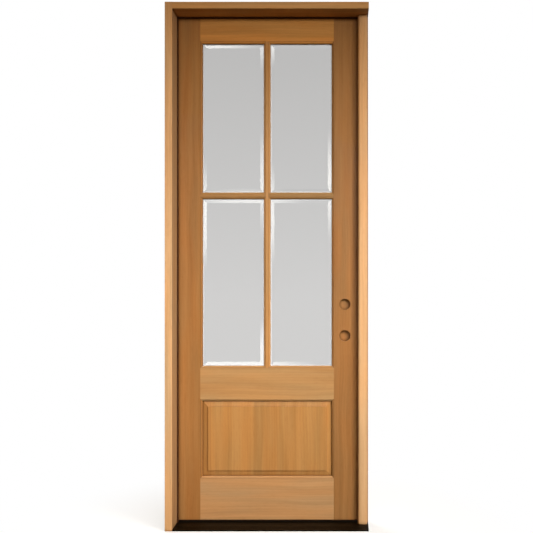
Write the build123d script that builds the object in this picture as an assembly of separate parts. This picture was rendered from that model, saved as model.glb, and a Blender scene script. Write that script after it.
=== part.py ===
from build123d import *
import math
import os

# Glazed exterior door unit: a panelled timber door with four bevelled panes, hung on butt
# hinges in a rabbeted frame over a metal-clad sill.
# Millimetres. +X to the lock side, +Y into the building, +Z up.
# The origin is on the floor at the middle of the unit's width and depth.

# Whole unit
unit_width = 959.5
unit_height = 2489.0
frame_depth = 166.7

# Frame members
jamb_thickness = 34.9
head_thickness = 31.75
strike_post_width = 37.3
strike_strip_thickness = 26.0
strike_strip_setback = 5.5
strike_strip_round = 13.0
eased_edge = 1.5

# Door leaf: its gaps to the frame, and how far the stops overlap its edges
slab_thickness = 44.45
slab_lift = 21.0
hinge_gap = 5.0
lock_gap = 5.0
head_gap = 5.0
hinge_stop_overlap = 12.7
head_stop_overlap = 7.15
strike_stop_overlap = 7.4
lock_edge_bevel = 2.4

# Door members: flat widths without their moulded edges
stile_face = 123.5
top_rail_face = 121.5
lock_rail_face = 151.4
bottom_rail_face = 200.3
panel_height = 384.4
bar_core = 11.6
bar_rise = 837.5

# Moulded inner edges of the door members, and the groove behind them
moulding_width = 10.2
moulding_land = 1.8
moulding_quirk = 2.4
groove_width = 15.9
groove_fit = 0.2

# Panes and raised panel
pane_edge_room = 3.0
glass_bevel_width = 26.0
glass_bevel_drop = 3.0
panel_edge_room = 2.0
panel_margin = 37.0
panel_field_depth = 3.0
panel_field_step = 5.0

# Lock bores
bore_radius = 27.0
bore_depth = 19.0
bore_backset = 69.85
latch_bore_height = 913.5
bore_spacing = 152.4

# Sill
sill_nose_height = 6.5
sill_deck_rise = 10.5
sill_sheet = 2.4
sill_cap_top = 12.5
sill_channel_floor = 5.0
sill_back_rail = 9.35
sill_back_height = 11.0
sill_cap_front_room = 3.0
sill_cap_round = 2.5
sill_flute_count = 6
sill_flute_width = 3.0
sill_flute_depth = 0.9
sill_flute_pitch = 9.0

# Seals
seal_thickness = 11.75
seal_show = 6.0
seal_room = 0.5
seal_round = 4.0
strike_seal_inset = 1.0
sweep_carrier = 1.2
sweep_room = 3.5
sweep_width = 34.0
sweep_fin_count = 3

# Butt hinges
hinge_count = 4
hinge_length = 101.6
hinge_leaf_reach = 36.0
hinge_leaf_sheet = 2.0
hinge_top_inset = 178.0
hinge_bottom_inset = 279.0
barrel_radius = 7.2
barrel_room = 1.4
knuckle_count = 5
knuckle_gap = 0.4
pin_radius = 3.9
pin_fit = 0.05
pin_head_lip = 2.1
pin_head_height = 3.2

# Places worked out from the sizes above
left = -unit_width / 2
right = unit_width / 2
front = -frame_depth / 2
back = frame_depth / 2
slab_back = back
slab_front = slab_back - slab_thickness
seal_back = slab_front - seal_room
stop_face = seal_back - seal_thickness
jamb_face = left + jamb_thickness
slab_left = jamb_face - hinge_stop_overlap
hinge_rabbet = slab_left - hinge_gap
strike_rabbet = right - strike_post_width
slab_right = strike_rabbet - lock_gap
strip_left = slab_right - strike_stop_overlap
strip_right = right - strike_strip_setback
strip_front = stop_face - strike_strip_thickness
head_face = unit_height - head_thickness
slab_top = head_face + head_stop_overlap
head_rabbet = slab_top + head_gap
slab_bottom = slab_lift

stile_edge_left = slab_left + stile_face
stile_edge_right = slab_right - stile_face
top_rail_edge = slab_top - top_rail_face
bottom_rail_edge = slab_bottom + bottom_rail_face
lock_rail_low = bottom_rail_edge + panel_height
lock_rail_high = lock_rail_low + lock_rail_face
bar_middle_x = (stile_edge_left + stile_edge_right) / 2
bar_left = bar_middle_x - bar_core / 2
bar_right = bar_middle_x + bar_core / 2
bar_middle_z = lock_rail_high + bar_rise
bar_low = bar_middle_z - bar_core / 2
bar_high = bar_middle_z + bar_core / 2

moulding_depth = (slab_thickness - groove_width) / 2
ovolo_radius = moulding_width - moulding_land
groove_front = slab_front + moulding_depth
groove_back = slab_back - moulding_depth

sill_deck_back = stop_face + sill_cap_front_room
sill_cap_back = back - sill_back_rail
pin_x = (hinge_rabbet + slab_left) / 2
pin_y = slab_back + barrel_radius + barrel_room


def block(x0, x1, y0, y1, z0, z1):
    """Box between two corners."""
    middle = Pos((x0 + x1) / 2, (y0 + y1) / 2, (z0 + z1) / 2)
    return middle * Box(x1 - x0, y1 - y0, z1 - z0)


def upright(points, z0, z1, rounded=()):
    """Section drawn in plan, run up from z0 to z1. rounded holds (corner number, radius) pairs."""
    section = Polygon(*points, align=None)
    for number, radius in rounded:
        corner = section.vertices().sort_by_distance(points[number])[0]
        section = fillet(corner, radius)
    return extrude(Pos(0, 0, z0) * section, amount=z1 - z0, dir=(0, 0, 1))


def level(points, x0, x1, rounded=()):
    """Section drawn in depth and height, run along the width from x0 to x1."""
    section = Polygon(*points, align=None)
    for number, radius in rounded:
        corner = section.vertices().sort_by_distance(points[number])[0]
        section = fillet(corner, radius)
    return extrude(Plane.YZ.offset(x0) * section, amount=x1 - x0, dir=(1, 0, 0))


def moulding_face(place):
    """Ovolo section of a moulded edge. place turns a reach and a depth into a point."""
    bend = ovolo_radius * math.sin(math.radians(45))
    low = moulding_quirk + ovolo_radius
    edges = [
        Line(place(0, moulding_depth), place(0, moulding_quirk)),
        Line(place(0, moulding_quirk), place(moulding_land, moulding_quirk)),
        ThreePointArc(
            place(moulding_land, moulding_quirk),
            place(moulding_land + bend, low - bend),
            place(moulding_width, low),
        ),
        Line(place(moulding_width, low), place(moulding_width, moulding_depth)),
        Line(place(moulding_width, moulding_depth), place(0, moulding_depth)),
    ]
    return Face(Wire(edges))


def face_depth(outside, depth):
    """Y of a point at a depth below the exterior or the interior face of the door."""
    return slab_front + depth if outside else slab_back - depth


def upright_moulding(edge, direction, outside, z0, z1):
    """Moulded edge that runs up a member from its flat edge at X."""

    def place(reach, depth):
        return Vector(edge + direction * reach, face_depth(outside, depth), z0)

    return extrude(moulding_face(place), amount=z1 - z0, dir=(0, 0, 1))


def level_moulding(edge, direction, outside, x0, x1):
    """Moulded edge that runs along a member from its flat edge at Z."""

    def place(reach, depth):
        return Vector(x0, face_depth(outside, depth), edge + direction * reach)

    return extrude(moulding_face(place), amount=x1 - x0, dir=(1, 0, 0))


def hinge_heights():
    """Middle heights of the hinges, evenly spaced between the top and bottom ones."""
    lowest = slab_bottom + hinge_bottom_inset + hinge_length / 2
    highest = slab_top - hinge_top_inset - hinge_length / 2
    step = (highest - lowest) / (hinge_count - 1)
    return [highest - number * step for number in range(hinge_count)]


def leaf_plate(x0, x1, middle):
    """Flat square-cornered leaf of a hinge, up to the pin's line."""
    low, high = middle - hinge_length / 2, middle + hinge_length / 2
    return block(x0, x1, slab_back - hinge_leaf_reach, pin_y, low, high)


def pin_cylinder(radius, z0, z1):
    """Cylinder on the swing axis."""
    return Pos(pin_x, pin_y, (z0 + z1) / 2) * Cylinder(radius, z1 - z0)


def hinge_leaf(x0, x1, middle, odd):
    """One leaf with its share of the knuckles, odd or even ones counted from the bottom."""
    pitch = hinge_length / knuckle_count
    low = middle - hinge_length / 2
    leaf = leaf_plate(x0, x1, middle)
    notch = pin_y - barrel_radius - knuckle_gap
    for number in range(knuckle_count):
        z0 = low + number * pitch
        z1 = z0 + pitch
        if (number % 2 == 0) == odd:
            bottom = z0 if number == 0 else z0 + knuckle_gap / 2
            top = z1 if number == knuckle_count - 1 else z1 - knuckle_gap / 2
            leaf += pin_cylinder(barrel_radius, bottom, top)
        else:
            leaf -= block(x0, x1, notch, pin_y, z0 - knuckle_gap / 2, z1 + knuckle_gap / 2)
    return leaf - pin_cylinder(pin_radius + pin_fit, low - hinge_length, low + 2 * hinge_length)


def hinge_pin(middle):
    """Loose pin with a flat button head that rests on the top knuckle."""
    top = middle + hinge_length / 2
    pin = pin_cylinder(pin_radius, middle - hinge_length / 2, top)
    return pin + pin_cylinder(pin_radius + pin_head_lip, top, top + pin_head_height)


def make_sill():
    """Composite base, bent metal deck with anti-slip flutes, and the cap in its channel."""
    deck = level(
        [
            (front, 0),
            (front, sill_nose_height),
            (sill_deck_back, sill_deck_rise),
            (sill_deck_back, sill_deck_rise - sill_sheet),
            (front + sill_sheet, sill_nose_height - sill_sheet),
            (front + sill_sheet, 0),
        ],
        left,
        right,
        rounded=[(1, eased_edge)],
    )
    slope = (sill_deck_rise - sill_nose_height) / (sill_deck_back - front)
    for number in range(sill_flute_count):
        y0 = front + (number + 1) * sill_flute_pitch
        floor = sill_nose_height + slope * (y0 - front) - sill_flute_depth
        deck -= block(left, right, y0, y0 + sill_flute_width, floor, sill_deck_rise)
    base = level(
        [
            (front + sill_sheet, 0),
            (front + sill_sheet, sill_nose_height - sill_sheet),
            (sill_deck_back, sill_deck_rise - sill_sheet),
            (sill_deck_back, sill_channel_floor),
            (sill_cap_back, sill_channel_floor),
            (sill_cap_back, sill_back_height),
            (back, sill_back_height),
            (back, 0),
        ],
        left,
        right,
    )
    cap = level(
        [
            (sill_deck_back, sill_channel_floor),
            (sill_deck_back, sill_cap_top),
            (sill_cap_back, sill_cap_top),
            (sill_cap_back, sill_channel_floor),
        ],
        left,
        right,
        rounded=[(1, sill_cap_round)],
    )
    return deck, base, cap


def make_frame():
    """Jamb, head, strike post and strip, sill and seals."""
    jamb_outline = [
        (left, front),
        (jamb_face, front),
        (jamb_face, stop_face),
        (hinge_rabbet, stop_face),
        (hinge_rabbet, back),
        (left, back),
    ]
    jamb_room = upright(jamb_outline, 0, unit_height)
    hinge_jamb = upright(jamb_outline, 0, unit_height, rounded=[(0, eased_edge), (1, eased_edge)])
    head_jamb = level(
        [
            (front, unit_height),
            (front, head_face),
            (stop_face, head_face),
            (stop_face, head_rabbet),
            (back, head_rabbet),
            (back, unit_height),
        ],
        left,
        right,
        rounded=[(0, eased_edge), (1, eased_edge)],
    )
    head_jamb -= jamb_room
    deck, base, cap = (piece - jamb_room for piece in make_sill())

    strike_post = block(strike_rabbet, right, stop_face, back, 0, head_rabbet)
    strike_post = strike_post - base - deck - cap
    strike_strip = upright(
        [
            (strip_left, strip_front),
            (strip_right, strip_front),
            (strip_right, stop_face),
            (strip_left, stop_face),
        ],
        sill_nose_height,
        head_face,
        rounded=[(0, strike_strip_round), (1, eased_edge)],
    )
    strike_strip = strike_strip - deck - base

    hinge_seal = upright(
        [
            (hinge_rabbet, stop_face),
            (jamb_face + seal_show, stop_face),
            (jamb_face + seal_show, seal_back),
            (hinge_rabbet, seal_back),
        ],
        0,
        head_rabbet,
        rounded=[(1, seal_round), (2, seal_round)],
    )
    head_seal = level(
        [
            (stop_face, head_rabbet),
            (stop_face, head_face - seal_show),
            (seal_back, head_face - seal_show),
            (seal_back, head_rabbet),
        ],
        jamb_face + seal_show - seal_round,
        strip_left + strike_seal_inset + seal_round,
        rounded=[(1, seal_round), (2, seal_round)],
    )
    strike_seal = upright(
        [
            (strip_left + strike_seal_inset, stop_face),
            (strike_rabbet, stop_face),
            (strike_rabbet, seal_back),
            (strip_left + strike_seal_inset, seal_back),
        ],
        0,
        head_rabbet,
        rounded=[(0, seal_round), (3, seal_round)],
    )
    hinge_seal = hinge_seal - deck - base - cap
    strike_seal = strike_seal - deck - base - cap
    head_seal = head_seal - hinge_seal - strike_seal
    return {
        "hinge_jamb": hinge_jamb,
        "head_jamb": head_jamb,
        "strike_post": strike_post,
        "strike_strip": strike_strip,
        "sill_base": base,
        "sill_deck": deck,
        "sill_cap": cap,
        "hinge_side_seal": hinge_seal,
        "head_seal": head_seal,
        "strike_side_seal": strike_seal,
    }


def lock_bores():
    """Two blind round bores into the exterior face of the lock stile."""
    bores = []
    for number in range(2):
        height = latch_bore_height + number * bore_spacing
        start = Plane(origin=(slab_right - bore_backset, slab_front, height), z_dir=(0, 1, 0))
        bores.append(extrude(start * Circle(bore_radius), amount=bore_depth))
    return bores


def make_stiles():
    """Upright members: outside moulding the whole way, inside moulding below the glass."""
    hinge_stile = block(slab_left, stile_edge_left, slab_front, slab_back, slab_bottom, slab_top)
    lock_stile = upright(
        [
            (stile_edge_right, slab_front),
            (slab_right - lock_edge_bevel, slab_front),
            (slab_right, slab_back),
            (stile_edge_right, slab_back),
        ],
        slab_bottom,
        slab_top,
    )
    hinge_stile += upright_moulding(stile_edge_left, 1, True, slab_bottom, slab_top)
    hinge_stile += upright_moulding(stile_edge_left, 1, False, slab_bottom, lock_rail_high)
    lock_stile += upright_moulding(stile_edge_right, -1, True, slab_bottom, slab_top)
    lock_stile += upright_moulding(stile_edge_right, -1, False, slab_bottom, lock_rail_high)
    for bore in lock_bores():
        lock_stile -= bore
    return hinge_stile, lock_stile


def make_rails(stiles):
    """Level members with their ends coped over the stiles' mouldings."""

    def rail(z0, z1, mouldings):
        x0, x1 = stile_edge_left, stile_edge_right
        body = block(x0, x1, slab_front, slab_back, z0, z1)
        for edge, direction, outside in mouldings:
            body += level_moulding(edge, direction, outside, x0, x1)
        for stile in stiles:
            body -= stile
        return body

    top_rail = rail(top_rail_edge, slab_top, [(top_rail_edge, -1, True)])
    lock_rail = rail(
        lock_rail_low,
        lock_rail_high,
        [(lock_rail_high, 1, True), (lock_rail_low, -1, True), (lock_rail_low, -1, False)],
    )
    bottom_rail = rail(
        slab_bottom,
        bottom_rail_edge,
        [(bottom_rail_edge, 1, True), (bottom_rail_edge, 1, False)],
    )
    return top_rail, lock_rail, bottom_rail


def make_bars(stiles, top_rail, lock_rail):
    """Glazing bars: one upright bar, and a level bar each side of it, coped where they meet."""
    upright_bar = block(bar_left, bar_right, slab_front, slab_back, lock_rail_high, top_rail_edge)
    upright_bar += upright_moulding(bar_left, -1, True, lock_rail_high, top_rail_edge)
    upright_bar += upright_moulding(bar_right, 1, True, lock_rail_high, top_rail_edge)
    upright_bar = upright_bar - top_rail - lock_rail

    def level_bar(x0, x1, stile):
        bar = block(x0, x1, slab_front, slab_back, bar_low, bar_high)
        bar += level_moulding(bar_low, -1, True, x0, x1)
        bar += level_moulding(bar_high, 1, True, x0, x1)
        return bar - stile - upright_bar

    left_bar = level_bar(stile_edge_left, bar_left, stiles[0])
    right_bar = level_bar(bar_right, stile_edge_right, stiles[1])
    return upright_bar, left_bar, right_bar


def pane_places():
    """Glazed openings, named, each from flat edge to flat edge of its members."""
    columns = {"left": (stile_edge_left, bar_left), "right": (bar_right, stile_edge_right)}
    rows = {"upper": (bar_high, top_rail_edge), "lower": (lock_rail_high, bar_low)}
    return {
        f"pane_{row}_{column}": (*columns[column], *rows[row])
        for row in rows
        for column in columns
    }


def raised_slab(x0, x1, z0, z1, inset, y_foot, y_top):
    """Sloped slab with a smaller top: from a rectangle at y_foot to one inset at y_top."""

    def rectangle(y, edge):
        middle = Plane(origin=((x0 + x1) / 2, y, (z0 + z1) / 2), x_dir=(1, 0, 0), z_dir=(0, -1, 0))
        return middle * Rectangle(x1 - x0 - 2 * edge, z1 - z0 - 2 * edge)

    return loft([rectangle(y_foot, 0), rectangle(y_top, inset)], ruled=True)


def make_pane(x0, x1, z0, z1):
    """Sealed pane with a wide bevel ground round its exterior face."""
    x0, x1 = x0 + pane_edge_room, x1 - pane_edge_room
    z0, z1 = z0 + pane_edge_room, z1 - pane_edge_room
    y_face = groove_front + groove_fit
    y_foot = y_face + glass_bevel_drop
    body = block(x0, x1, y_foot, groove_back - groove_fit, z0, z1)
    return body + raised_slab(x0, x1, z0, z1, glass_bevel_width, y_foot, y_face)


def mitred(bead, x0, z0, x1, z1):
    """Bead between two corners of an opening, with its ends cut along the opening's diagonals."""
    along = Vector(x1 - x0, 0, z1 - z0).normalized() * moulding_width
    inward = Vector(-along.Z, 0, along.X)
    corners = [
        (x0, z0),
        (x1, z1),
        (x1 - along.X + inward.X, z1 - along.Z + inward.Z),
        (x0 + along.X + inward.X, z0 + along.Z + inward.Z),
    ]
    outline = Plane.XZ.offset(-slab_front) * Polygon(*corners, align=None)
    return bead & extrude(outline, amount=slab_thickness, dir=(0, 1, 0))


def make_beads():
    """Moulded beads round the interior side of each pane, mitred at the corners."""
    upright_beads = []
    level_beads = []
    for x0, x1, z0, z1 in pane_places().values():
        upright_beads += [
            mitred(upright_moulding(x0, 1, False, z0, z1), x0, z1, x0, z0),
            mitred(upright_moulding(x1, -1, False, z0, z1), x1, z0, x1, z1),
        ]
        level_beads += [
            mitred(level_moulding(z0, 1, False, x0, x1), x0, z0, x1, z0),
            mitred(level_moulding(z1, -1, False, x0, x1), x1, z1, x0, z1),
        ]
    return Compound(children=upright_beads), Compound(children=level_beads)


def make_panel():
    """Raised panel: a tongue in the groove all round, a slope each side and a stepped field."""
    x0, x1 = stile_edge_left + panel_edge_room, stile_edge_right - panel_edge_room
    z0, z1 = bottom_rail_edge + panel_edge_room, lock_rail_low - panel_edge_room
    y_low, y_high = groove_front + groove_fit, groove_back - groove_fit
    panel = block(x0, x1, y_low, y_high, z0, z1)
    foot = moulding_width
    x0, x1 = stile_edge_left + foot, stile_edge_right - foot
    z0, z1 = bottom_rail_edge + foot, lock_rail_low - foot
    slope = panel_margin - foot
    for y_foot, y_field, outward in (
        (y_low, slab_front + panel_field_depth, -1),
        (y_high, slab_back - panel_field_depth, 1),
    ):
        y_slope = y_field - outward * panel_field_step
        panel += raised_slab(x0, x1, z0, z1, slope, y_foot, y_slope)
        y_a, y_b = sorted((y_slope, y_field))
        panel += block(x0 + slope, x1 - slope, y_a, y_b, z0 + slope, z1 - slope)
    return panel


def make_sweep():
    """Bottom seal: a thin carrier under the door with fins that stop short of the sill."""
    middle = (slab_front + slab_back) / 2
    y0, y1 = middle - sweep_width / 2, middle + sweep_width / 2
    x0, x1 = slab_left, slab_right - lock_edge_bevel
    z_fin, z_carrier = sill_cap_top + sweep_room, slab_bottom - sweep_carrier
    sweep = block(x0, x1, y0, y1, z_carrier, slab_bottom)
    pitch = sweep_width / (sweep_fin_count - 0.5)
    for number in range(sweep_fin_count):
        y_fin = y0 + number * pitch
        sweep += block(x0, x1, y_fin, y_fin + pitch / 2, z_fin, z_carrier)
    return sweep


def make_door():
    """Door leaf without its hinges."""
    stiles = make_stiles()
    top_rail, lock_rail, bottom_rail = make_rails(stiles)
    upright_bar, left_bar, right_bar = make_bars(stiles, top_rail, lock_rail)
    upright_beads, level_beads = make_beads()
    nodes = {
        "hinge_stile": stiles[0],
        "lock_stile": stiles[1],
        "top_rail": top_rail,
        "lock_rail": lock_rail,
        "bottom_rail": bottom_rail,
        "glazing_bar_upright": upright_bar,
        "glazing_bar_left": left_bar,
        "glazing_bar_right": right_bar,
        "glazing_beads_upright": upright_beads,
        "glazing_beads_level": level_beads,
        "raised_panel": make_panel(),
        "bottom_sweep": make_sweep(),
    }
    for name, place in pane_places().items():
        nodes[name] = make_pane(*place)
    return nodes


def fit_hinges(nodes):
    """Hinges let in flush: a mortise in the jamb and one in the hinge stile for each."""
    for number, middle in enumerate(hinge_heights(), start=1):
        frame_side = (hinge_rabbet - hinge_leaf_sheet, hinge_rabbet)
        door_side = (slab_left, slab_left + hinge_leaf_sheet)
        nodes["hinge_jamb"] -= leaf_plate(*frame_side, middle)
        nodes["hinge_stile"] -= leaf_plate(*door_side, middle)
        nodes[f"hinge_frame_leaf_{number}"] = hinge_leaf(*frame_side, middle, True)
        nodes[f"hinge_door_leaf_{number}"] = hinge_leaf(*door_side, middle, False)
        nodes[f"hinge_pin_{number}"] = hinge_pin(middle)


nodes = make_frame() | make_door()
fit_hinges(nodes)
os.makedirs("parts", exist_ok=True)
for name, solid in nodes.items():
    export_step(solid, f"parts/{name}.step")
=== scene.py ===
import math

import bmesh
import bpy
from bpy.props import FloatProperty, FloatVectorProperty, IntProperty, PointerProperty
from mathutils import Matrix, Vector


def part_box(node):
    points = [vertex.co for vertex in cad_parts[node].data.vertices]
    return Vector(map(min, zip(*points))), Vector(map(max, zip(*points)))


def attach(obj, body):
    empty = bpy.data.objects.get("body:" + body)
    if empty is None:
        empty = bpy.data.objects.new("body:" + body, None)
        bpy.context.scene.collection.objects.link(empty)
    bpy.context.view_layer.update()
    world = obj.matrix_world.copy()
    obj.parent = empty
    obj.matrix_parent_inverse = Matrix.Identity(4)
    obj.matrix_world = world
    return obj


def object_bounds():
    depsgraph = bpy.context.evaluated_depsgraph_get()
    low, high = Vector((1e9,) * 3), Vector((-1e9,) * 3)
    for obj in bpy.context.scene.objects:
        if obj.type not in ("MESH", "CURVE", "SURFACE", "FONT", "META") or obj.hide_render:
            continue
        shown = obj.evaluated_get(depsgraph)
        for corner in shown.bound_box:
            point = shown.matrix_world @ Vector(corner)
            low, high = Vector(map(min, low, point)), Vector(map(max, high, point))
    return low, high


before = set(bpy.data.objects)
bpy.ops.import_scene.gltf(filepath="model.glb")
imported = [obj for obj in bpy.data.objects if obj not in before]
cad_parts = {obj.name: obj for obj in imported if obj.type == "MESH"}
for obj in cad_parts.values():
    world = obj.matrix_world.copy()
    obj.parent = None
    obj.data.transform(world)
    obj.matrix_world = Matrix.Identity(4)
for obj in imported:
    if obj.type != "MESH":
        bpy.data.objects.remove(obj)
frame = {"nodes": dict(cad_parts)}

bl_info = {
    "name": "Glazed Entry Door",
    "version": (1, 0, 0),
    "blender": (4, 5, 0),
    "location": "View3D > Sidebar > Door",
    "description": "Finishes and small fittings of a glazed timber entry door, and its studio",
    "category": "Object",
}

CAD_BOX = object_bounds()

# Timber boards: the way the grain runs in each, and the stain it has taken.
BOARDS = {
    "hinge_jamb": ("upright", "frame"),
    "head_jamb": ("level", "head"),
    "strike_post": ("upright", "frame"),
    "strike_strip": ("upright", "frame"),
    "hinge_stile": ("upright", "hinge_stile"),
    "lock_stile": ("upright", "lock_stile"),
    "top_rail": ("level", "top_rail"),
    "lock_rail": ("level", "lock_rail"),
    "bottom_rail": ("level", "bottom_rail"),
    # The glazing bars and beads take two copies of one stain: lighter upright, darker level, painted for how
    # the light falls on them.
    "glazing_bar_upright": ("upright", "upright_bar_lit"),
    "glazing_bar_left": ("level", "level_bars_shaded"),
    "glazing_bar_right": ("level", "level_bars_shaded"),
    "glazing_beads_upright": ("upright", "upright_bar_lit"),
    "glazing_beads_level": ("level", "level_bars_shaded"),
    "raised_panel": ("upright", "panel"),
}
PANES = ("pane_upper_left", "pane_upper_right", "pane_lower_left", "pane_lower_right")
SEALS = ("hinge_side_seal", "head_seal", "strike_side_seal", "bottom_sweep")
HINGE_NUMBERS = (1, 2, 3, 4)

# How far through the timber one board's cut lies from the next, so that no two share their figure.
BOARD_STEP = Vector((1.37, 0.71, 2.03))

# Softboxes in front of the door: degrees to the right of straight ahead, and share of the key light.
SOFTBOXES = {"left": (-8, 0.13), "middle": (18, 0.25), "right": (43, 0.62)}

# Reflector cards in front of the door: sideways and upward slope to the middle of each, its reach both ways
# on the same slopes, and its brightness.
REFLECTOR_CARDS = {
    "left": (-0.385, 0.115, 0.130, 0.085, 8.5),
    "right": (0.180, 0.150, 0.110, 0.085, 8.0),
    "high_left": (-0.205, 0.610, 0.095, 0.060, 7.5),
    "high_middle": (-0.125, 0.380, 0.085, 0.052, 6.0),
    "low_middle": (-0.125, -0.115, 0.100, 0.032, 8.0),
    "floor_middle": (-0.145, -0.330, 0.120, 0.060, 7.5),
    "low_right": (0.135, -0.080, 0.045, 0.060, 7.0),
    "high_right": (0.130, 0.340, 0.040, 0.050, 5.5),
    "far_left": (-0.335, 0.350, 0.045, 0.040, 7.0),
}


def linear(code):
    """Turns an sRGB hex colour into linear red, green and blue."""
    channels = [int(code[i:i + 2], 16) / 255 for i in (1, 3, 5)]
    return tuple(c / 12.92 if c <= 0.04045 else ((c + 0.055) / 1.055) ** 2.4 for c in channels)


def opaque(colour):
    """Adds full alpha to a linear colour for a node socket."""
    return (*colour, 1.0)


def colour_property(label, words, code):
    """Colour setting with its default given in sRGB hex."""
    return FloatVectorProperty(
        name=label, description=words, subtype="COLOR", size=3, min=0, max=1, default=linear(code)
    )


def length_property(label, words, value):
    """Length setting in metres."""
    return FloatProperty(name=label, description=words, default=value, unit="LENGTH", precision=5)


def share_property(label, words, value):
    """Setting from 0 to 1."""
    return FloatProperty(name=label, description=words, default=value, min=0, max=1, subtype="FACTOR")


def angle_property(label, words, degrees):
    """Angle setting with its default given in degrees."""
    return FloatProperty(name=label, description=words, default=math.radians(degrees), subtype="ANGLE")


def power_property(label, words, watts):
    """Light power setting in watts."""
    return FloatProperty(name=label, description=words, default=watts, unit="POWER")


class TimberSettings(bpy.types.PropertyGroup):
    """Stain tones and grain sizes of the boards."""

    frame: colour_property("Frame", "Stain of the jamb, strike post and strip", "#CDA276")
    head: colour_property("Head", "Stain of the head board", "#CA9A67")
    hinge_stile: colour_property("Hinge stile", "Stain of the hinge stile", "#9B6C3D")
    lock_stile: colour_property("Lock stile", "Stain of the lock stile", "#96693D")
    top_rail: colour_property("Top rail", "Stain of the top rail", "#BE8547")
    lock_rail: colour_property("Lock rail", "Stain of the lock rail", "#AB8356")
    bottom_rail: colour_property("Bottom rail", "Stain of the bottom rail", "#B1885E")
    # The upright bar is drawn lighter and the level bars darker than one stain, as painted light and painted
    # shade for how the light falls on them.
    upright_bar_lit: colour_property("Upright bar", "Stain of the upright glazing bar and beads", "#B18352")
    level_bars_shaded: colour_property("Level bars", "Stain of the level glazing bars and beads", "#9C7547")
    panel: colour_property("Panel", "Stain of the raised panel", "#AB7C48")
    figure: share_property("Figure", "Contrast of early and late wood", 0.12)
    sway: length_property("Sway", "How far the grain wanders sideways", 0.030)
    sway_width: length_property("Sway width", "Width of the grain's slow bends", 0.18)
    cloud_width: length_property("Cloud width", "Width of the stain's warmer and yellower patches", 0.060)
    cloud_length: length_property("Cloud length", "Length of the stain's patches along the grain", 0.45)
    streak_width: length_property("Streak width", "Width of the soft colour streaks", 0.024)
    streak_length: length_property("Streak length", "Length of the soft colour streaks", 0.60)
    ring_width: length_property("Ring width", "Spacing of the growth lines on the face", 0.013)
    ring_strength: share_property("Ring strength", "How much the growth lines add to the streaks", 0.035)
    pore_width: length_property("Pore width", "Width of the pores, drawn coarse to show", 0.0014)
    pore_length: length_property("Pore length", "Length of the pores along the grain", 0.035)
    pore_depth: length_property("Pore depth", "Depth of the pores", 0.0004)
    pore_relief: share_property("Pore relief", "Share of the pores' depth that the coat lets show", 0.12)
    stave_width: length_property("Stave width", "Width of the boards glued up in the panel", 0.104)
    stave_strength: share_property("Stave strength", "How far the shades of those boards differ", 0.34)
    # Painted shade: how far out of an inner corner the stain is drawn darker
    corner_shade_reach: length_property("Corner reach", "How far out of an inner corner the stain gathers", 0.018)
    # Painted shade: share of its tone that a frame board keeps on the faces that turn sideways
    side_face_shade: share_property("Edge tone", "Share of its tone that a frame board keeps on its edges", 0.64)
    roughness: share_property("Roughness", "Satin clear coat", 0.46)
    sheen_change: share_property("Sheen change", "How far the roughness varies with the streaks", 0.16)


class GlassSettings(bpy.types.PropertyGroup):
    """Tint and polish of the bevelled panes."""

    tint: colour_property("Tint", "Colour of light through the sealed pane", "#F4F4F4")
    bevel_tint: colour_property("Bevel tint", "Colour of the ground bevel", "#FFFFFF")
    refraction: FloatProperty(name="IOR", description="Float glass", default=1.52, min=1)
    bevel_depth: length_property("Bevel depth", "How far the bevel falls away at the pane's edge", 0.003)
    bevel_roughness: share_property("Bevel roughness", "Ground bevel", 0.3)
    # The milky rim is partly the ground edge and partly a painted highlight.
    rim_haze_and_highlight: share_property("Milkiness", "How far the ground rim hides what is behind it", 0.45)
    rim_start: share_property("Rim start", "Share of the bevel's fall where the rim turns milky", 0.46)
    rim_end: share_property("Rim end", "Share of the bevel's fall where the rim is at its milkiest", 0.66)


class HardwareSettings(bpy.types.PropertyGroup):
    """Sizes of the hinge screws and colours of metal and seals."""

    bronze: colour_property("Bronze", "Dark plated steel of the hinges", "#4A3A2A")
    sill_bronze: colour_property("Sill bronze", "Anodised aluminium of the sill deck", "#0C0704")
    sill_composite: colour_property("Sill composite", "Moulded sill base and cap", "#0A0704")
    seal: colour_property("Seal", "Foam seal with a smooth skin", "#3C2011")
    deck_grit: length_property("Deck grit", "Speckle of the anodised deck, drawn coarse", 0.0012)
    composite_grit: length_property("Composite grit", "Speckle of the composite, drawn coarse", 0.0025)
    foam_cell: length_property("Foam cell", "Pebbles in the skin of the seals", 0.003)
    plate_mottle: length_property("Plate mottle", "Mottling of the hinges' plate", 0.004)
    screw_radius: length_property("Screw head radius", "Flat head of a hinge screw", 0.0047)
    screw_rise: length_property("Screw head rise", "How far a screw head stands proud of its leaf", 0.0006)
    screw_sink: length_property("Screw head sink", "How far a screw head is let into its leaf", 0.0001)
    screw_rim: length_property("Screw head rim", "Rounding of a screw head's rim", 0.00036)
    screw_sides: IntProperty(name="Screw head sides", description="Facets of the rim", default=24, min=8)
    screw_turn: angle_property("Screw turn", "Turn of each recess past the one before", 37)
    recess_depth: length_property("Recess depth", "Depth of the cross recess", 0.0004)
    recess_width: length_property("Recess width", "Width of one arm of the cross recess", 0.0013)
    recess_reach: length_property("Recess reach", "Length of one arm of the cross recess", 0.0027)
    screw_inset: length_property("Screw inset", "Outer row of screws from the leaf's edge", 0.010)
    screw_stagger: length_property("Screw stagger", "Inner row of screws from the outer row", 0.014)
    screws: IntProperty(name="Screws", description="Screws in one hinge leaf", default=4, min=2)


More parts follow.
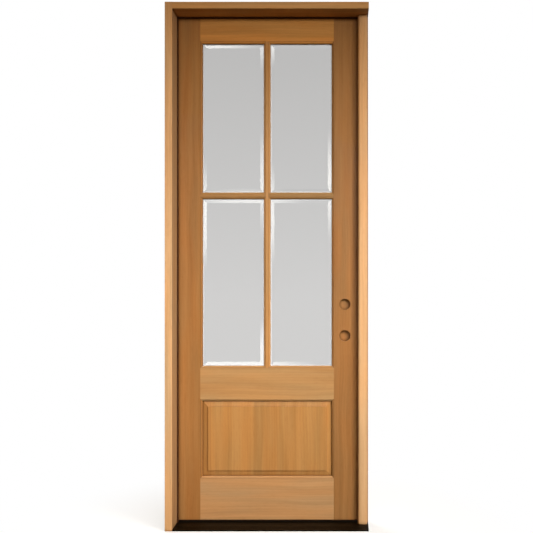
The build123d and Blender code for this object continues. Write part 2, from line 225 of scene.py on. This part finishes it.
class StageSettings(bpy.types.PropertyGroup):
    """Camera and studio light."""

    distance: length_property("Distance", "Camera to the exterior face of the frame", 3.652)
    side: length_property("Side", "Camera to the right of the unit's middle", 0.349)
    height: length_property("Height", "Camera above the floor", 1.092)
    lens: FloatProperty(name="Lens", description="Focal length in millimetres", default=52.5)
    shift_x: FloatProperty(name="Shift X", description="Sideways framing shift", default=-0.1398)
    shift_y: FloatProperty(name="Shift Y", description="Upward framing shift", default=0.061)
    front_glow: colour_property("Front glow", "Warm dim room in front of the door", "#9C7934")
    back_glow: colour_property("Back glow", "Pale room behind the door, seen through the glass", "#DEDEDE")
    card: colour_property("Card", "White reflector cards that the glass mirrors", "#FFFDF6")
    room_blend: angle_property("Room blend", "How far behind the door's plane the pale room is whole", 30)
    low_glow: share_property("Low glow", "Brightness of the room at eye height", 0.98)
    high_glow: share_property("High glow", "Brightness of the room from the high rise up", 0.76)
    high_rise: share_property("High rise", "Upward part of the direction where the high glow starts", 0.33)
    floor_radius: length_property("Floor radius", "Round sweep under the unit", 9.0)
    floor_paint: colour_property("Floor paint", "Matt white of the sweep", "#F6F6F4")
    floor_bounce: colour_property("Floor bounce", "Dim warm tone that the sweep throws up", "#3E3420")
    floor_glow: share_property("Floor glow", "Share of white surround in the sweep under the unit", 0.5)
    fade_start: length_property("Fade start", "Where the sweep starts to run out into white", 0.4)
    fade_end: length_property("Fade end", "Where the sweep is wholly white", 1.3)
    key_power: power_property("Key light", "Power of the softboxes together", 41.2)
    key_spread: angle_property("Key spread", "Fan of each softbox's grid", 62)
    softbox_width: length_property("Softbox width", "Width of a softbox", 1.6)
    softbox_tall: length_property("Softbox tallness", "Upright size of a softbox", 0.9)
    key_distance: length_property("Key distance", "Softboxes to the unit, along the floor", 3.9)
    key_height: length_property("Key height", "Softboxes above the floor", 2.55)
    key_aim_side: length_property("Key aim side", "Where the softboxes point, from the middle", -0.25)
    key_aim_height: length_property("Key aim height", "Where the softboxes point, above the floor", 0.55)
    rear_power: power_property("Rear light", "Power of the light behind the unit", 90)
    rear_size: length_property("Rear size", "Side of the square rear light", 1.6)
    rear_place: FloatVectorProperty(
        name="Rear place",
        description="Place of the rear light",
        default=(-1.4, 2.8, 3.2),
        subtype="TRANSLATION",
        unit="LENGTH",
    )
    rear_aim_height: length_property("Rear aim height", "Where the rear light points, above the floor", 1.0)


def add_node(tree, kind, inputs=None, **settings):
    """Adds a node with its settings. inputs gives each socket a value or a link from another socket."""
    node = tree.nodes.new(kind)
    for name, value in settings.items():
        setattr(node, name, value)
    for socket, value in (inputs or {}).items():
        if isinstance(value, bpy.types.NodeSocket):
            tree.links.new(value, node.inputs[socket])
        else:
            node.inputs[socket].default_value = value
    return node


def new_material(name):
    """Empty node material: returns it, its tree and its surface socket."""
    material = bpy.data.materials.new(name)
    material.use_nodes = True
    material.node_tree.nodes.clear()
    output = add_node(material.node_tree, "ShaderNodeOutputMaterial")
    return material, material.node_tree, output.inputs["Surface"]


def set_ramp(node, *stops):
    """Places the stops of a colour ramp: (position, linear colour) pairs."""
    ramp = node.color_ramp
    while len(ramp.elements) < len(stops):
        ramp.elements.new(0.5)
    for element, (position, colour) in zip(ramp.elements, stops):
        element.position = position
        element.color = opaque(colour)
    return node.outputs["Color"]


def dress(node_name, material):
    """Gives a CAD node one finish."""
    slots = frame["nodes"][node_name].data.materials
    slots.clear()
    slots.append(material)


def stained_timber(name, grain, stain, seed, settings, staves=0.0, side_face_shade=1.0):
    """Stained hardwood, planed and sanded, under a satin clear coat."""
    # The eye meets soft clouds of warmer and yellower stain and streaks that sway with the grain, then
    # faint growth lines and dark pores. Painted shade darkens the inner corners and a frame board's
    # sideways faces. The pores are drawn coarse, because real ones are too fine to show in the render.
    # Late wood loses more green and blue than red.
    warming = (1.0, 1.15, 1.3)
    pale = tuple(min(1.0, c * (1 + settings.figure)) for c in stain)
    deep = tuple(c * (1 - settings.figure * fade) for c, fade in zip(stain, warming))
    material, tree, surface = new_material(name)
    texture = add_node(tree, "ShaderNodeTexCoord").outputs
    board = add_node(
        tree,
        "ShaderNodeMapping",
        {
            "Vector": texture["Object"],
            "Location": seed * BOARD_STEP,
            "Rotation": (0, math.radians(90), 0) if grain == "level" else (0, 0, 0),
        },
    ).outputs["Vector"]
    # Width, length and detail of each layer. The sway comes first and bends the others.
    stretches = {
        "sway": (settings.sway_width, settings.cloud_length, 1.0),
        "cloud": (settings.cloud_width, settings.cloud_length, 1.0),
        "streak": (settings.streak_width, settings.streak_length, 4.0),
        "pores": (settings.pore_width, settings.pore_length, 2.0),
    }
    layers = {}
    bent = board
    for layer, (width, length, detail) in stretches.items():
        stretched = add_node(
            tree, "ShaderNodeMapping", {"Vector": bent, "Scale": (1 / width, 1 / width, 1 / length)}
        ).outputs["Vector"]
        noise = add_node(
            tree,
            "ShaderNodeTexNoise",
            {"Vector": stretched, "Scale": 1.0, "Detail": detail, "Roughness": 0.55},
        ).outputs
        layers[layer] = noise["Fac"]
        if layer == "sway":
            bent = add_node(
                tree,
                "ShaderNodeVectorMath",
                {0: noise["Color"], 1: (settings.sway, 0, 0), 2: board},
                operation="MULTIPLY_ADD",
            ).outputs["Vector"]

    across = add_node(tree, "ShaderNodeSeparateXYZ", {"Vector": bent}).outputs["X"]
    phase = add_node(
        tree, "ShaderNodeMath", {0: across, 1: math.tau / settings.ring_width}, operation="MULTIPLY"
    ).outputs["Value"]
    rings = add_node(tree, "ShaderNodeMath", {0: phase}, operation="SINE").outputs["Value"]
    figure = add_node(
        tree,
        "ShaderNodeMath",
        {0: rings, 1: settings.ring_strength, 2: layers["streak"]},
        operation="MULTIPLY_ADD",
    ).outputs["Value"]
    middle = 0.5
    if staves:
        # Each glued-up board of the panel has its own shade.
        count = add_node(tree, "ShaderNodeMath", {0: across, 1: staves}, operation="DIVIDE").outputs["Value"]
        stave = add_node(tree, "ShaderNodeMath", {0: count}, operation="FLOOR").outputs["Value"]
        shade = add_node(
            tree, "ShaderNodeTexWhiteNoise", {"W": stave}, noise_dimensions="1D"
        ).outputs["Value"]
        figure = add_node(
            tree,
            "ShaderNodeMath",
            {0: shade, 1: settings.stave_strength, 2: figure},
            operation="MULTIPLY_ADD",
        ).outputs["Value"]
        middle += settings.stave_strength / 2
    # Painted shade: ambient occlusion darkens the stain wherever another surface comes close
    corner = add_node(
        tree, "ShaderNodeAmbientOcclusion", {"Distance": settings.corner_shade_reach}, samples=8
    ).outputs["AO"]

    white = (1.0, 1.0, 1.0)
    half_range = 0.2
    colour = set_ramp(
        add_node(tree, "ShaderNodeValToRGB", {"Fac": figure}),
        (middle - half_range, deep),
        (middle + half_range, pale),
    )
    tints = [
        # Clouds of warmer and yellower stain
        (layers["cloud"], (0.36, (1.04, 0.97, 0.86)), (0.64, (0.97, 1.01, 1.02))),
        # Dark pores
        (layers["pores"], (0.30, (0.89, 0.85, 0.82)), (0.46, white)),
        # Painted shade in inner corners, darker where the ambient occlusion finds other surfaces close
        (corner, (0.30, (0.40, 0.32, 0.26)), (0.92, white)),
    ]
    if side_face_shade < 1:
        # Painted shade on the faces that turn away from the front and the back, darker as if out of the
        # light
        facing = add_node(tree, "ShaderNodeSeparateXYZ", {"Vector": texture["Normal"]}).outputs["Y"]
        fronting = add_node(tree, "ShaderNodeMath", {0: facing}, operation="ABSOLUTE").outputs["Value"]
        tints.append((fronting, (0.35, (side_face_shade, side_face_shade, side_face_shade)), (0.80, white)))
    for source, low, high in tints:
        tint = set_ramp(add_node(tree, "ShaderNodeValToRGB", {"Fac": source}), low, high)
        colour = add_node(
            tree,
            "ShaderNodeMix",
            {"Factor": 1.0, "A": colour, "B": tint},
            data_type="RGBA",
            blend_type="MULTIPLY",
        ).outputs["Result"]
    sheen = add_node(
        tree,
        "ShaderNodeMath",
        {
            0: layers["streak"],
            1: -settings.sheen_change,
            2: settings.roughness + settings.sheen_change / 2,
        },
        operation="MULTIPLY_ADD",
    ).outputs["Value"]
    relief = add_node(
        tree,
        "ShaderNodeBump",
        {"Height": layers["pores"], "Strength": settings.pore_relief, "Distance": settings.pore_depth},
    ).outputs["Normal"]
    shader = add_node(
        tree,
        "ShaderNodeBsdfPrincipled",
        {"Base Color": colour, "Roughness": sheen, "Normal": relief, "IOR": 1.5, "Specular IOR Level": 0.4},
    )
    tree.links.new(shader.outputs["BSDF"], surface)
    return material


class DOOR_OT_finish_timber(bpy.types.Operator):
    """Stain every timber board with its own cut of grain"""

    bl_idname = "door.finish_timber"
    bl_label = "Stain Timber"

    def execute(self, context):
        settings = context.scene.door_timber
        for seed, (board, (grain, tone)) in enumerate(BOARDS.items(), start=1):
            stain = getattr(settings, tone)
            staves = settings.stave_width if tone == "panel" else 0.0
            # Painted shade on the sideways faces of the frame boards
            side_face_shade = settings.side_face_shade if tone == "frame" else 1.0
            name = f"stained_timber_{board}"
            dress(board, stained_timber(name, grain, stain, seed, settings, staves, side_face_shade))
        return {"FINISHED"}


class DOOR_OT_finish_glass(bpy.types.Operator):
    """Polish the panes and pick out their ground bevels"""

    bl_idname = "door.finish_glass"
    bl_label = "Polish Glass"

    def execute(self, context):
        settings = context.scene.door_glass
        # Float glass, clear and polished flat: it shows the pale room behind and mirrors the cards in front.
        # The bevel ground round its outer face bends that view, and its rim is drawn milky white, partly the
        # ground edge and partly a painted highlight.
        material, tree, surface = new_material("bevelled_float_glass")
        texture = add_node(tree, "ShaderNodeTexCoord").outputs
        depth = add_node(tree, "ShaderNodeSeparateXYZ", {"Vector": texture["Normal"]}).outputs["Y"]
        fronting = add_node(tree, "ShaderNodeMath", {0: depth}, operation="ABSOLUTE").outputs["Value"]
        # How squarely a face looks out: above the first it is the flat pane, below the second the bevel.
        square_on = 0.9985
        bevelled = 0.9965
        bevel = add_node(
            tree, "ShaderNodeMapRange", {"Value": fronting, "From Min": square_on, "From Max": bevelled}
        ).outputs["Result"]
        sunk = add_node(tree, "ShaderNodeSeparateXYZ", {"Vector": texture["Object"]}).outputs["Y"]
        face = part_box(PANES[0])[0].y
        fall = add_node(
            tree,
            "ShaderNodeMapRange",
            {"Value": sunk, "From Min": face, "From Max": face + settings.bevel_depth},
        ).outputs["Result"]
        # Partly painted highlight: milky white along the bevel's outer rim stands in for the bright line the
        # light draws on the edge, as well as the ground edge's haze
        rim = add_node(
            tree,
            "ShaderNodeMapRange",
            {
                "Value": fall,
                "From Min": settings.rim_start,
                "From Max": settings.rim_end,
                "To Max": settings.rim_haze_and_highlight,
            },
            interpolation_type="SMOOTHSTEP",
        ).outputs["Result"]
        bevel = add_node(tree, "ShaderNodeMath", {0: bevel, 1: rim}, operation="MULTIPLY").outputs["Value"]
        clear = add_node(
            tree,
            "ShaderNodeBsdfPrincipled",
            {
                "Base Color": opaque(settings.tint),
                "Roughness": 0.0,
                "IOR": settings.refraction,
                "Transmission Weight": 1.0,
            },
        ).outputs["BSDF"]
        milky_rim_highlight = add_node(
            tree,
            "ShaderNodeBsdfPrincipled",
            {
                "Base Color": opaque(settings.bevel_tint),
                "Roughness": settings.bevel_roughness,
                "IOR": settings.refraction,
            },
        ).outputs["BSDF"]
        mixed = add_node(tree, "ShaderNodeMixShader", {0: bevel, 1: clear, 2: milky_rim_highlight}).outputs["Shader"]
        tree.links.new(mixed, surface)
        for pane in PANES:
            dress(pane, material)
        return {"FINISHED"}


def speckled(name, colour, size, roughness, metallic, strength, gloss=0.5):
    """Fine-grained surface: moulded, foamed, plated or anodised, with an even speckle of the given size."""
    # The speckle's contrast, how softly it turns from dark to light, how far the polish varies with it, and
    # its height as a share of its size
    contrast = 0.2
    spread = 0.15
    polish_change = 0.2
    relief_share = 0.2
    material, tree, surface = new_material(name)
    place = add_node(tree, "ShaderNodeTexCoord").outputs["Object"]
    grit = add_node(
        tree, "ShaderNodeTexNoise", {"Vector": place, "Scale": 1 / size, "Detail": 3.0, "Roughness": 0.6}
    ).outputs["Fac"]
    dark = tuple((1 - contrast) * c for c in colour)
    light = tuple((1 + contrast) * c for c in colour)
    tone = set_ramp(
        add_node(tree, "ShaderNodeValToRGB", {"Fac": grit}), (0.5 - spread, dark), (0.5 + spread, light)
    )
    polish = add_node(
        tree,
        "ShaderNodeMath",
        {0: grit, 1: polish_change, 2: roughness - polish_change / 2},
        operation="MULTIPLY_ADD",
    ).outputs["Value"]
    relief = add_node(
        tree, "ShaderNodeBump", {"Height": grit, "Strength": strength, "Distance": size * relief_share}
    ).outputs["Normal"]
    shader = add_node(
        tree,
        "ShaderNodeBsdfPrincipled",
        {
            "Base Color": tone,
            "Roughness": polish,
            "Metallic": metallic,
            "Normal": relief,
            "Specular IOR Level": gloss,
        },
    )
    tree.links.new(shader.outputs["BSDF"], surface)
    return material


class DOOR_OT_finish_sill(bpy.types.Operator):
    """Anodise the sill deck and colour the moulded base and cap"""

    bl_idname = "door.finish_sill"
    bl_label = "Finish Sill"

    def execute(self, context):
        settings = context.scene.door_hardware
        # Extruded aluminium, anodised dark bronze: nearly black, with a fine even grit and a faint metal
        # sheen. The grit is drawn coarse, because the real one is too fine to show.
        anodised = speckled(
            "bronze_anodised_aluminium",
            settings.sill_bronze,
            settings.deck_grit,
            roughness=0.5,
            metallic=0.3,
            strength=0.1,
            gloss=0.15,
        )
        dress("sill_deck", anodised)
        # Wood-fibre composite, moulded: a dull near-black that takes the light evenly, with a larger grit
        # than the deck's, drawn coarse in the same way.
        composite = speckled(
            "moulded_composite",
            settings.sill_composite,
            settings.composite_grit,
            roughness=0.6,
            metallic=0.0,
            strength=0.2,
            gloss=0.15,
        )
        for piece in ("sill_base", "sill_cap"):
            dress(piece, composite)
        return {"FINISHED"}


class DOOR_OT_finish_seals(bpy.types.Operator):
    """Give the weather seals their skinned foam"""

    bl_idname = "door.finish_seals"
    bl_label = "Finish Seals"

    def execute(self, context):
        settings = context.scene.door_hardware
        # Foam under a smooth bonded skin: dark brown and soft to the light, faintly pebbled by its cells.
        foam = speckled(
            "skinned_foam_seal",
            settings.seal,
            settings.foam_cell,
            roughness=0.62,
            metallic=0.0,
            strength=0.25,
        )
        for piece in SEALS:
            dress(piece, foam)
        return {"FINISHED"}


class DOOR_OT_finish_hinges(bpy.types.Operator):
    """Plate the hinge leaves and pins in dark bronze"""

    bl_idname = "door.finish_hinges"
    bl_label = "Plate Hinges"

    def execute(self, context):
        settings = context.scene.door_hardware
        # Steel plated in bronze and oil rubbed: dark metal with a soft mottle, and long highlights on the
        # knuckles.
        bronze = speckled(
            "oil_rubbed_bronze_plate",
            settings.bronze,
            settings.plate_mottle,
            roughness=0.4,
            metallic=1.0,
            strength=0.08,
        )
        for number in HINGE_NUMBERS:
            for piece in ("hinge_frame_leaf", "hinge_door_leaf", "hinge_pin"):
                dress(f"{piece}_{number}", bronze)
        return {"FINISHED"}


def finish_piece(mesh, name, body, material):
    """Turns a finished bmesh into a piece that rides on a body."""
    bmesh.ops.recalc_face_normals(mesh, faces=mesh.faces)
    data = bpy.data.meshes.new(name)
    mesh.to_mesh(data)
    mesh.free()
    data.materials.append(material)
    piece = bpy.data.objects.new(name, data)
    bpy.context.scene.collection.objects.link(piece)
    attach(piece, body)


def screw_head(settings):
    """Flat screw head with a rounded rim and a cross recess, looking along +Z from its seat."""
    # How squarely a face on top looks up, and how near two cuts may come before they are one
    level = 0.99
    weld = 1e-7
    mesh = bmesh.new()
    bmesh.ops.create_circle(
        mesh,
        cap_ends=True,
        segments=settings.screw_sides,
        radius=settings.screw_radius,
        matrix=Matrix.Translation((0, 0, -settings.screw_sink)),
    )
    raised = bmesh.ops.extrude_face_region(mesh, geom=mesh.faces[:])["geom"]
    lifted = [item for item in raised if isinstance(item, bmesh.types.BMVert)]
    bmesh.ops.translate(mesh, verts=lifted, vec=(0, 0, settings.screw_rise + settings.screw_sink))
    rim = [item for item in raised if isinstance(item, bmesh.types.BMEdge)]
    bmesh.ops.bevel(
        mesh,
        geom=rim,
        offset=settings.screw_rim,
        offset_type="OFFSET",
        segments=2,
        profile=0.5,
        affect="EDGES",
        material=-1,
    )
    half = settings.recess_width / 2
    reach = settings.recess_reach
    for axis in (Vector((1, 0, 0)), Vector((0, 1, 0))):
        for offset in (-reach, -half, half, reach):
            top = [face for face in mesh.faces if face.normal.z > level]
            edges = {edge for face in top for edge in face.edges}
            corners = {corner for face in top for corner in face.verts}
            bmesh.ops.bisect_plane(
                mesh, geom=[*top, *edges, *corners], plane_co=axis * offset, plane_no=axis, dist=weld
            )
    cross = []
    for face in mesh.faces:
        if face.normal.z < level:
            continue
        near, far = sorted(abs(value) for value in face.calc_center_median().xy)
        if near < half and far < reach:
            cross.append(face)
    # The edges go in with the faces, so that the faces left on top are taken away.
    outline = {edge for face in cross for edge in face.edges}
    pressed = bmesh.ops.extrude_face_region(mesh, geom=[*cross, *outline])["geom"]
    floor = [item for item in pressed if isinstance(item, bmesh.types.BMVert)]
    bmesh.ops.translate(mesh, verts=floor, vec=(0, 0, -settings.recess_depth))
    bmesh.ops.recalc_face_normals(mesh, faces=mesh.faces)
    head = bpy.data.meshes.new("screw_head")
    mesh.to_mesh(head)
    mesh.free()
    return head


class DOOR_OT_add_hinge_screws(bpy.types.Operator):
    """Drive the screws into both leaves of every hinge"""

    bl_idname = "door.add_hinge_screws"
    bl_label = "Add Hinge Screws"

    def execute(self, context):
        settings = context.scene.door_hardware
        head = screw_head(settings)
        bronze = bpy.data.materials["oil_rubbed_bronze_plate"]
        pin_low, pin_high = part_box("hinge_pin_1")
        door_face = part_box("hinge_stile")[0].x
        frame_face = pin_low.x + pin_high.x - door_face
        for body, face, outward in (("frame", frame_face, 1), ("door", door_face, -1)):
            mesh = bmesh.new()
            for number in HINGE_NUMBERS:
                low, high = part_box(f"hinge_{body}_leaf_{number}")
                for screw in range(settings.screws):
                    height = low.z + (high.z - low.z) * (screw + 0.5) / settings.screws
                    depth = low.y + settings.screw_inset + settings.screw_stagger * (screw % 2)
                    place = (
                        Matrix.Translation((face, depth, height))
                        @ Matrix.Rotation(math.radians(90 * outward), 4, "Y")
                        @ Matrix.Rotation(settings.screw_turn * (screw + number), 4, "Z")
                    )
                    start = len(mesh.verts)
                    mesh.from_mesh(head)
                    mesh.verts.ensure_lookup_table()
                    bmesh.ops.transform(mesh, matrix=place, verts=mesh.verts[start:])
            finish_piece(mesh, f"hinge_screws_{body}", body, bronze)
        bpy.data.meshes.remove(head)
        return {"FINISHED"}


class DOOR_OT_build_stage(bpy.types.Operator):
    """Floor, light and camera"""

    bl_idname = "door.build_stage"
    bl_label = "Build Stage"

    def execute(self, context):
        settings = context.scene.door_stage
        scene = context.scene
        scene.view_settings.view_transform = "Standard"
        front = CAD_BOX[0].y
        lens = bpy.data.cameras.new("photo_camera")
        lens.lens = settings.lens
        lens.shift_x = settings.shift_x
        lens.shift_y = settings.shift_y
        camera = bpy.data.objects.new("photo_camera", lens)
        camera.location = (settings.side, front - settings.distance, settings.height)
        camera.rotation_euler = (math.radians(90), 0, 0)
        scene.collection.objects.link(camera)
        scene.camera = camera

        self.add_floor(scene, settings)
        self.add_sky(scene, settings)
        self.add_lights(scene, settings)
        return {"FINISHED"}

    def add_floor(self, scene, settings):
        """Lays the round sweep that the unit stands on."""
        mesh = bmesh.new()
        bmesh.ops.create_circle(mesh, cap_ends=True, segments=64, radius=settings.floor_radius)
        data = bpy.data.meshes.new("studio_floor")
        mesh.to_mesh(data)
        mesh.free()
        # Matt white sweep that shades softly under the unit and runs out into the white surround.
        material, tree, surface = new_material("matt_white_sweep")
        place = add_node(tree, "ShaderNodeTexCoord").outputs["Object"]
        away = add_node(tree, "ShaderNodeVectorMath", {0: place}, operation="LENGTH").outputs["Value"]
        fade = add_node(
            tree,
            "ShaderNodeMapRange",
            {
                "Value": away,
                "From Min": settings.fade_start,
                "From Max": settings.fade_end,
                "To Min": settings.floor_glow,
            },
            interpolation_type="SMOOTHSTEP",
        ).outputs["Result"]
        paint = add_node(
            tree, "ShaderNodeBsdfDiffuse", {"Color": opaque(settings.floor_paint)}
        ).outputs["BSDF"]
        glow = add_node(tree, "ShaderNodeEmission", {"Strength": 1.0}).outputs["Emission"]
        sweep = add_node(tree, "ShaderNodeMixShader", {0: fade, 1: paint, 2: glow}).outputs["Shader"]
        bounce = add_node(
            tree, "ShaderNodeBsdfDiffuse", {"Color": opaque(settings.floor_bounce)}
        ).outputs["BSDF"]
        path = add_node(tree, "ShaderNodeLightPath").outputs
        mixed = add_node(
            tree, "ShaderNodeMixShader", {0: path["Is Camera Ray"], 1: bounce, 2: sweep}
        ).outputs["Shader"]
        # The panes show and mirror the room alone, with no floor line across them.
        hidden = add_node(tree, "ShaderNodeBsdfTransparent").outputs["BSDF"]
        mixed = add_node(
            tree, "ShaderNodeMixShader", {0: path["Is Singular Ray"], 1: mixed, 2: hidden}
        ).outputs["Shader"]
        tree.links.new(mixed, surface)
        data.materials.append(material)
        floor = bpy.data.objects.new("studio_floor", data)
        scene.collection.objects.link(floor)

    def add_sky(self, scene, settings):
        """Surrounds the unit with a warm dim room in front, a pale one behind and the reflector cards."""
        # Share of a card's reach at full brightness, and how far forward a direction looks to meet a card
        card_core = 0.25
        sideways = 0.1
        world = bpy.data.worlds.new("studio_surround")
        scene.world = world
        world.use_nodes = True
        tree = world.node_tree
        tree.nodes.clear()
        path = add_node(tree, "ShaderNodeLightPath").outputs
        direction = add_node(tree, "ShaderNodeTexCoord").outputs["Generated"]
        parts = add_node(tree, "ShaderNodeSeparateXYZ", {"Vector": direction}).outputs
        behind = add_node(
            tree,
            "ShaderNodeMapRange",
            {"Value": parts["Y"], "From Min": 0.0, "From Max": math.sin(settings.room_blend)},
            interpolation_type="SMOOTHSTEP",
        ).outputs["Result"]
        beyond = add_node(
            tree, "ShaderNodeMath", {0: behind, 1: path["Is Transmission Ray"]}, operation="MAXIMUM"
        ).outputs["Value"]
        tone = set_ramp(
            add_node(tree, "ShaderNodeValToRGB", {"Fac": beyond}),
            (0.0, settings.front_glow),
            (1.0, settings.back_glow),
        )
        rise = add_node(
            tree,
            "ShaderNodeMapRange",
            {
                "Value": parts["Z"],
                "From Min": 0.0,
                "From Max": settings.high_rise,
                "To Min": settings.low_glow,
                "To Max": settings.high_glow,
            },
        ).outputs["Result"]
        room = add_node(
            tree, "ShaderNodeBackground", {"Color": tone, "Strength": rise}
        ).outputs["Background"]

        # The cards show in polished glass alone, so they light nothing else.
        ahead = add_node(
            tree, "ShaderNodeMath", {0: parts["Y"], 1: -1.0}, operation="MULTIPLY"
        ).outputs["Value"]
        slope = add_node(
            tree, "ShaderNodeVectorMath", {0: direction, 1: ahead}, operation="DIVIDE"
        ).outputs["Vector"]
        glare = 0.0
        for side, height, width, reach, strength in REFLECTOR_CARDS.values():
            offset = add_node(
                tree, "ShaderNodeVectorMath", {0: slope, 1: (side, 0, height)}, operation="SUBTRACT"
            ).outputs["Vector"]
            share = add_node(
                tree, "ShaderNodeVectorMath", {0: offset, 1: (1 / width, 0, 1 / reach)}, operation="MULTIPLY"
            ).outputs["Vector"]
            out = add_node(tree, "ShaderNodeVectorMath", {0: share}, operation="LENGTH").outputs["Value"]
            card = add_node(
                tree,
                "ShaderNodeMapRange",
                {"Value": out, "From Min": 1.0, "From Max": card_core, "To Max": strength},
                interpolation_type="SMOOTHSTEP",
            ).outputs["Result"]
            glare = add_node(
                tree, "ShaderNodeMath", {0: glare, 1: card}, operation="MAXIMUM"
            ).outputs["Value"]
        in_front = add_node(
            tree, "ShaderNodeMath", {0: ahead, 1: sideways}, operation="GREATER_THAN"
        ).outputs["Value"]
        for gate in (in_front, path["Is Reflection Ray"], path["Is Singular Ray"]):
            glare = add_node(
                tree, "ShaderNodeMath", {0: glare, 1: gate}, operation="MULTIPLY"
            ).outputs["Value"]
        cards = add_node(
            tree, "ShaderNodeBackground", {"Color": opaque(settings.card), "Strength": glare}
        ).outputs["Background"]
        studio = add_node(tree, "ShaderNodeAddShader", {0: room, 1: cards}).outputs["Shader"]
        white = add_node(
            tree, "ShaderNodeBackground", {"Color": (1, 1, 1, 1), "Strength": 1.0}
        ).outputs["Background"]
        mixed = add_node(
            tree, "ShaderNodeMixShader", {0: path["Is Camera Ray"], 1: studio, 2: white}
        ).outputs["Shader"]
        output = add_node(tree, "ShaderNodeOutputWorld")
        tree.links.new(mixed, output.inputs["Surface"])

    def add_lights(self, scene, settings):
        """Hangs the softboxes in front of the unit and one light behind it."""
        target = Vector((settings.key_aim_side, 0.0, settings.key_aim_height))
        for name, (turn, share) in SOFTBOXES.items():
            panel = bpy.data.lights.new(f"softbox_{name}", "AREA")
            panel.shape = "RECTANGLE"
            panel.size = settings.softbox_width
            panel.size_y = settings.softbox_tall
            panel.spread = settings.key_spread
            panel.energy = settings.key_power * share
            angle = math.radians(turn)
            place = Vector((math.sin(angle), -math.cos(angle), 0.0)) * settings.key_distance
            place.z = settings.key_height
            self.aim(scene, panel, place, target)
        rear = bpy.data.lights.new("rear_light", "AREA")
        rear.energy = settings.rear_power
        rear.size = settings.rear_size
        self.aim(scene, rear, Vector(settings.rear_place), Vector((0.0, 0.0, settings.rear_aim_height)))

    def aim(self, scene, light, place, target):
        """Hangs a light, pointed at the target, that shows neither by itself nor in the glass."""
        lamp = bpy.data.objects.new(light.name, light)
        lamp.location = place
        lamp.rotation_euler = (target - place).to_track_quat("-Z", "Y").to_euler()
        lamp.visible_camera = False
        lamp.visible_transmission = False
        lamp.visible_glossy = False
        scene.collection.objects.link(lamp)


class DOOR_PT_unit(bpy.types.Panel):
    """Sidebar list of the door's finishes and fittings"""

    bl_label = "Entry Door"
    bl_idname = "DOOR_PT_unit"
    bl_space_type = "VIEW_3D"
    bl_region_type = "UI"
    bl_category = "Door"

    def draw(self, context):
        for operator in OPERATORS:
            self.layout.operator(operator.bl_idname)


SETTINGS = {
    "door_timber": TimberSettings,
    "door_glass": GlassSettings,
    "door_hardware": HardwareSettings,
    "door_stage": StageSettings,
}
OPERATORS = (
    DOOR_OT_finish_timber,
    DOOR_OT_finish_glass,
    DOOR_OT_finish_sill,
    DOOR_OT_finish_seals,
    DOOR_OT_finish_hinges,
    DOOR_OT_add_hinge_screws,
    DOOR_OT_build_stage,
)


def register():
    for group in SETTINGS.values():
        bpy.utils.register_class(group)
    for operator in OPERATORS:
        bpy.utils.register_class(operator)
    bpy.utils.register_class(DOOR_PT_unit)
    for name, group in SETTINGS.items():
        setattr(bpy.types.Scene, name, PointerProperty(type=group))


def unregister():
    for name in SETTINGS:
        delattr(bpy.types.Scene, name)
    bpy.utils.unregister_class(DOOR_PT_unit)
    for operator in reversed(OPERATORS):
        bpy.utils.unregister_class(operator)
    for group in reversed(SETTINGS.values()):
        bpy.utils.unregister_class(group)


def main():
    register()
    bpy.ops.door.finish_timber()
    bpy.ops.door.finish_glass()
    bpy.ops.door.finish_sill()
    bpy.ops.door.finish_seals()
    bpy.ops.door.finish_hinges()
    bpy.ops.door.add_hinge_screws()
    bpy.ops.door.build_stage()


if __name__ == "__main__":
    main()
